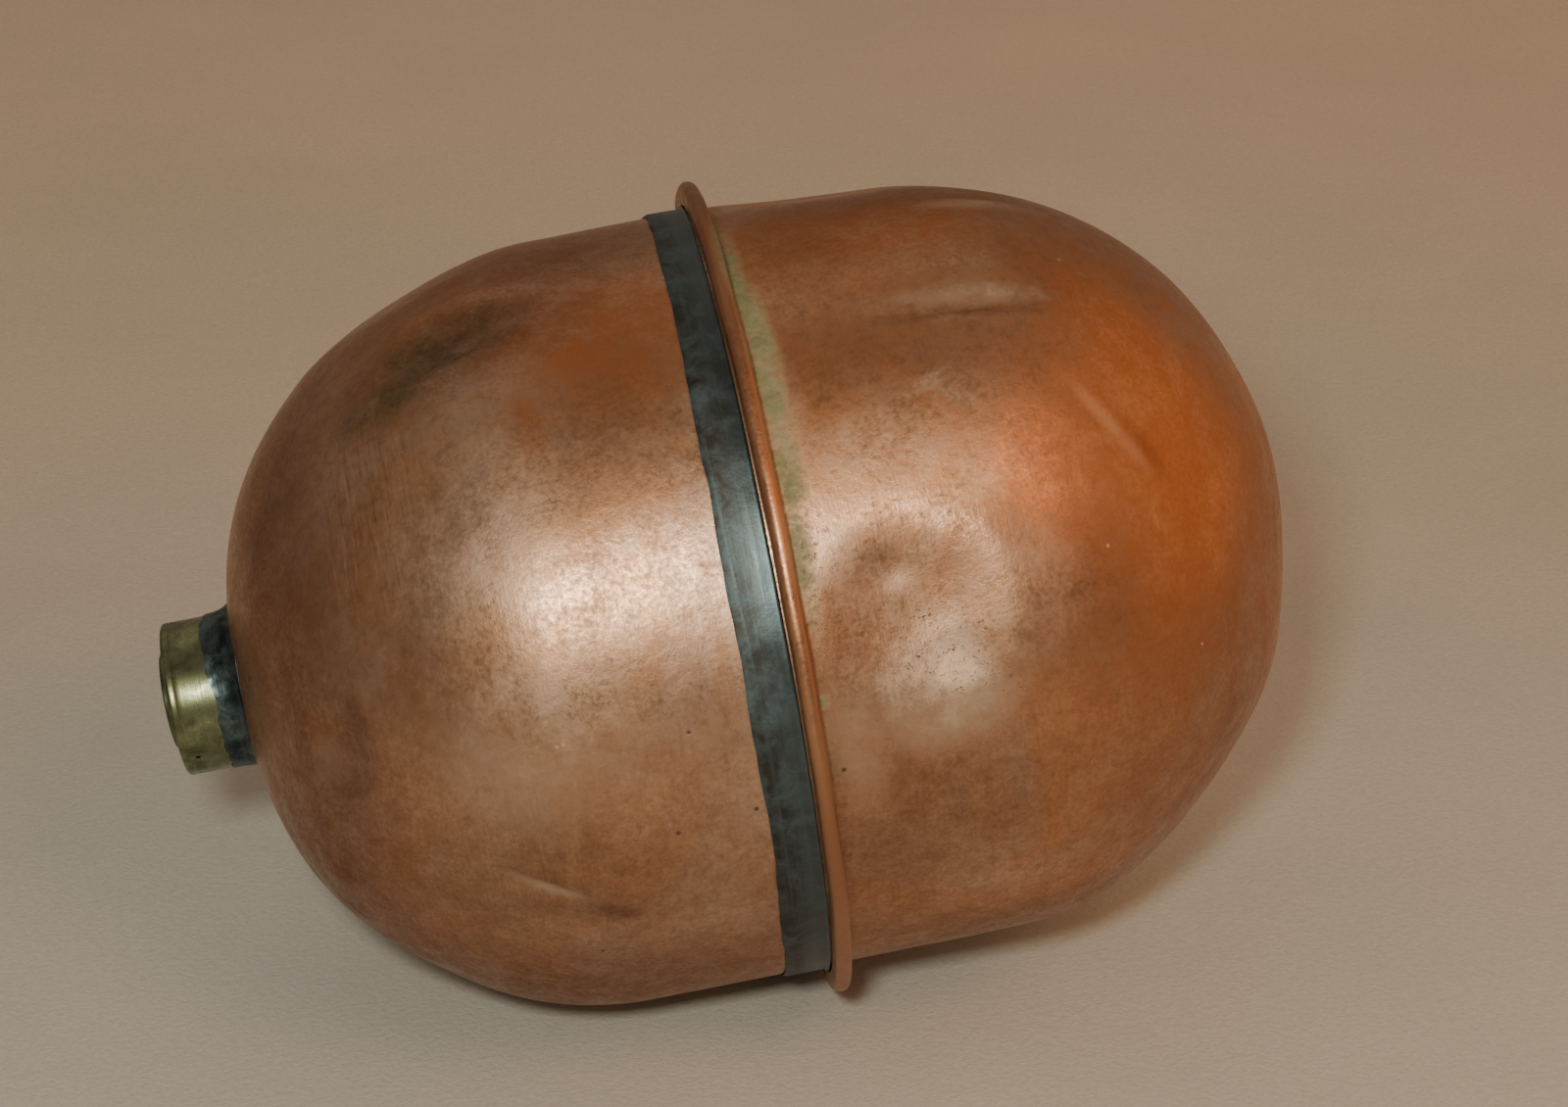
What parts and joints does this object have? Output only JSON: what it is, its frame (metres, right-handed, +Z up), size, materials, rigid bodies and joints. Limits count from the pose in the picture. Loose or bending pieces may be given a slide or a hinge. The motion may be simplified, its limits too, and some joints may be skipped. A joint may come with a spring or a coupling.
{
  "type": "float valve float",
  "caption": "Sealed oblong copper float with a folded, soldered seam round its middle and a threaded brass boss at one end for a float valve's rod.",
  "frame": {"origin": "centre of the threaded bush's open end, where the rod goes in", "axes": "+X along the float's axis from the boss to the plain end; the float is round about X, and +Z is up as it lies, with the small pin hole low on the -Y side"},
  "size_m": [0.187, 0.1366, 0.1366],
  "materials": {
    "copper": "satin copper, tarnished, no lacquer",
    "brass": "turned brass, lightly tarnished",
    "solder": "dull blue-grey soft solder"
  },
  "bodies": {
    "root": {"plain_cup": "copper", "boss_cup": "copper", "seam_solder": "solder", "threaded_bush": "brass", "boss_collar": "brass", "boss_solder": "solder"}
  },
  "joints": []
}
